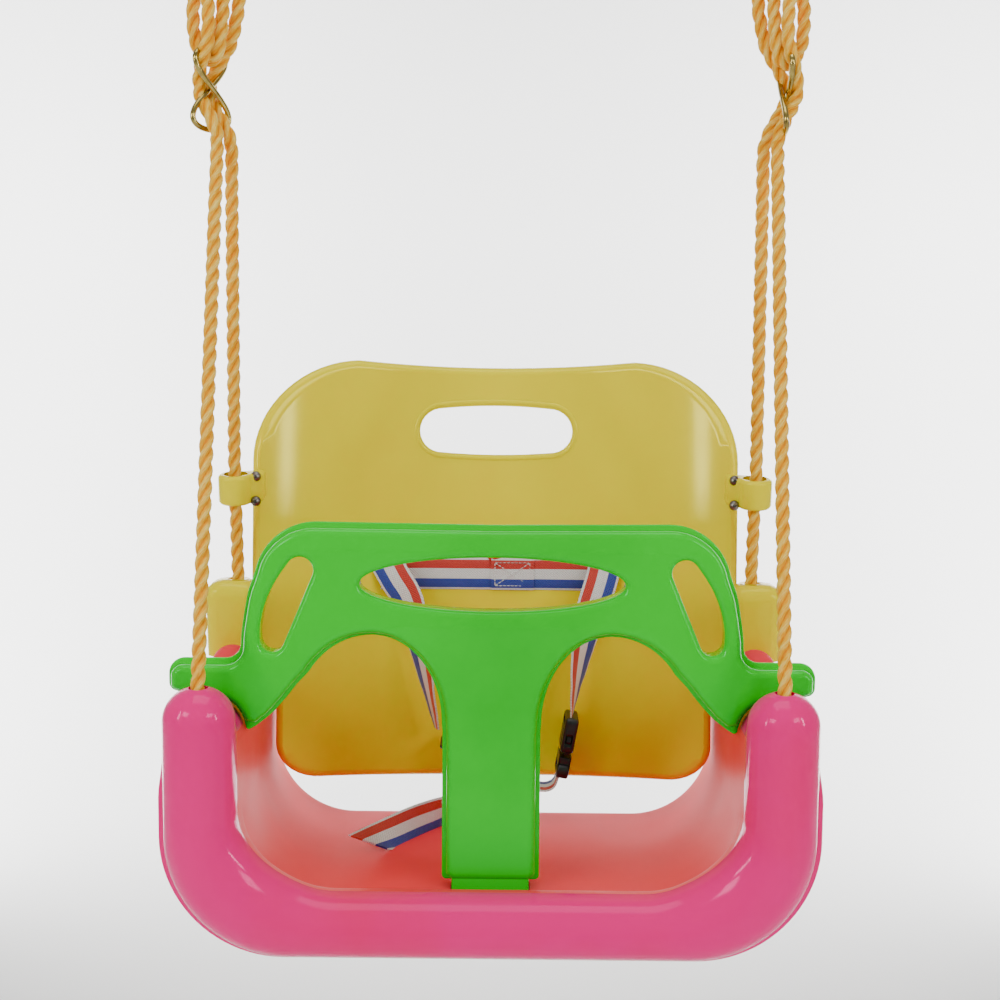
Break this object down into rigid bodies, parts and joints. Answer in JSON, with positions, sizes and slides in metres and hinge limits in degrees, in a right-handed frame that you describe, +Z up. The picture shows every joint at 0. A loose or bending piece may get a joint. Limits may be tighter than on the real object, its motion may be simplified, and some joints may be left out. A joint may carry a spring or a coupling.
{
  "type": "toddler bucket swing",
  "caption": "Toddler swing with a moulded seat, a lift-off backrest and T-shaped guard, a buckled waist strap and two adjustable ropes on steel rings.",
  "frame": {"origin": "midway between the hanging rings, on the line through their straight bars that the ropes swing about", "axes": "+X to the sitter's left, +Y to the back of the seat, +Z up"},
  "size_m": [0.446, 0.2667, 0.74],
  "materials": {
    "pink_plastic": "glossy moulded polypropylene",
    "yellow_plastic": "glossy moulded polypropylene",
    "green_plastic": "glossy moulded polypropylene",
    "red_plastic": "moulded push rivet",
    "black_plastic": "satin moulded acetal",
    "rope": "laid polypropylene rope",
    "webbing": "ribbed polyester webbing in red, white and blue",
    "gilt_wire": "yellow passivated steel wire",
    "zinc": "zinc plated steel",
    "dark_steel": "dark plated steel"
  },
  "bodies": {
    "hangers": {"ring_left": "zinc", "ring_right": "zinc"},
    "swing": {"seat_base": "pink_plastic", "rope_left": "rope", "rope_right": "rope", "rope_knots": "rope", "adjuster_left": "gilt_wire", "adjuster_right": "gilt_wire"},
    "guard": {"guard": "green_plastic"},
    "backrest": {"backrest": "yellow_plastic", "bracket_left": "yellow_plastic", "bracket_right": "yellow_plastic", "bracket_screws": "dark_steel", "bracket_nuts": "zinc", "back_strap": "webbing", "strap_peg": "red_plastic", "peg_washer": "zinc", "strap_left": "webbing", "strap_right": "webbing", "buckle_socket": "black_plastic", "tri_glide": "black_plastic", "strap_tail": "webbing"},
    "buckle": {"buckle_plug": "black_plastic", "strap_lower": "webbing"}
  },
  "joints": [
    {"name": "swing_hinge", "type": "hinge", "parent": "hangers", "child": "swing", "pos_m": [0, 0, 0], "axis": [1, 0, 0], "range_deg": [-45, 45]},
    {"name": "guard_lift", "type": "slide", "parent": "swing", "child": "guard", "axis": [0, 0, 1], "range_m": [0, 0.045]},
    {"name": "backrest_lift", "type": "slide", "parent": "swing", "child": "backrest", "axis": [0, -0.1295, 0.9916], "range_m": [0, 0.07]},
    {"name": "buckle_release", "type": "slide", "parent": "backrest", "child": "buckle", "axis": [-0.1736, 0, -0.9848], "range_m": [0, 0.018]}
  ]
}
